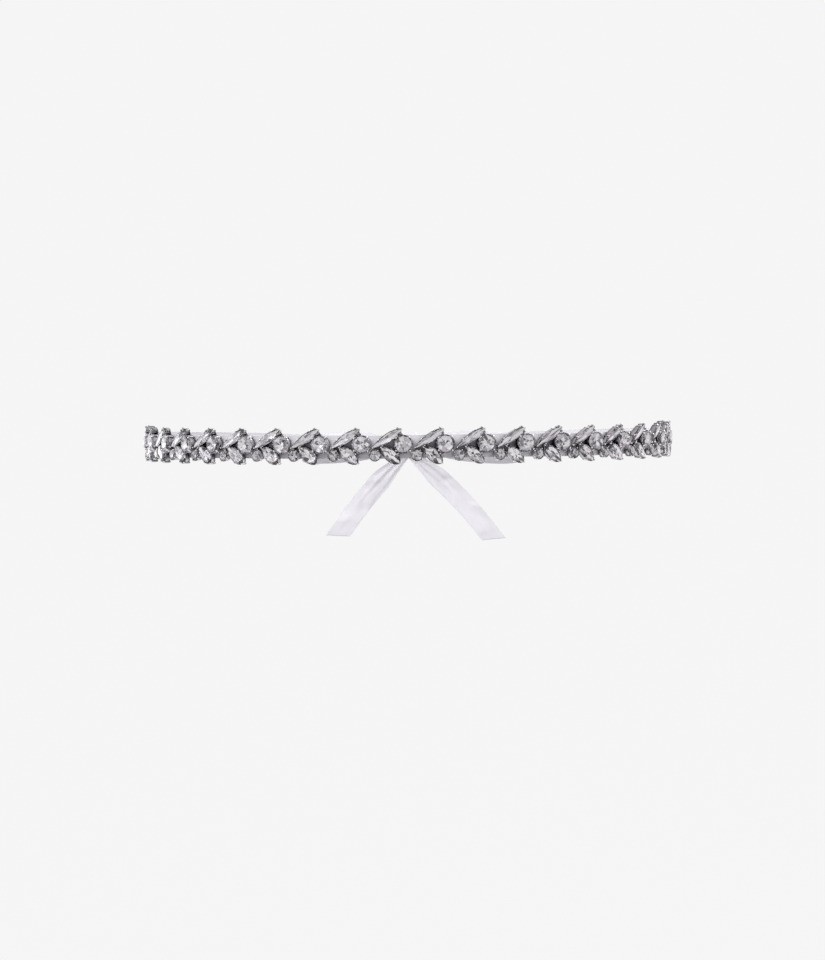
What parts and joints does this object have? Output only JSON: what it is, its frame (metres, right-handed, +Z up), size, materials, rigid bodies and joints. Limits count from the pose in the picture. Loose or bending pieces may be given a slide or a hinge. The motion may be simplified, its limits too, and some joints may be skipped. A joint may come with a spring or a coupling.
{
  "type": "bridal sash",
  "caption": "Narrow bridal waist sash: white satin ribbon with a silver-set rhinestone leaf trim round its front, tied behind in a small bow with two short ends.",
  "frame": {"origin": "the centre of the waist opening, at the height of the ribbon's middle", "axes": "+Z up along the wearer, -Y the front with the trim's middle, +X the wearer's left side"},
  "size_m": [0.2408, 0.231, 0.0584],
  "materials": {
    "satin_ribbon": "soft satin",
    "silver_setting": "polished",
    "clear_stone": "faceted, mirror-backed",
    "sewing_thread": "matt"
  },
  "bodies": {
    "root": {"ribbon_front": "satin_ribbon", "ribbon_left": "satin_ribbon", "ribbon_right": "satin_ribbon", "knot": "satin_ribbon", "loop_left": "satin_ribbon", "loop_right": "satin_ribbon", "tail_left": "satin_ribbon", "tail_right": "satin_ribbon", "motif_01": "silver_setting", "motif_02": "silver_setting", "motif_03": "silver_setting", "motif_04": "silver_setting", "motif_05": "silver_setting", "motif_06": "silver_setting", "motif_07": "silver_setting", "motif_08": "silver_setting", "motif_09": "silver_setting", "motif_10": "silver_setting", "motif_11": "silver_setting", "motif_12": "silver_setting", "motif_13": "silver_setting", "motif_14": "silver_setting", "motif_15": "silver_setting", "motif_16": "silver_setting", "motif_17": "silver_setting", "motif_18": "silver_setting", "motif_19": "silver_setting", "motif_20": "silver_setting", "motif_21": "silver_setting", "motif_22": "silver_setting"}
  },
  "joints": []
}
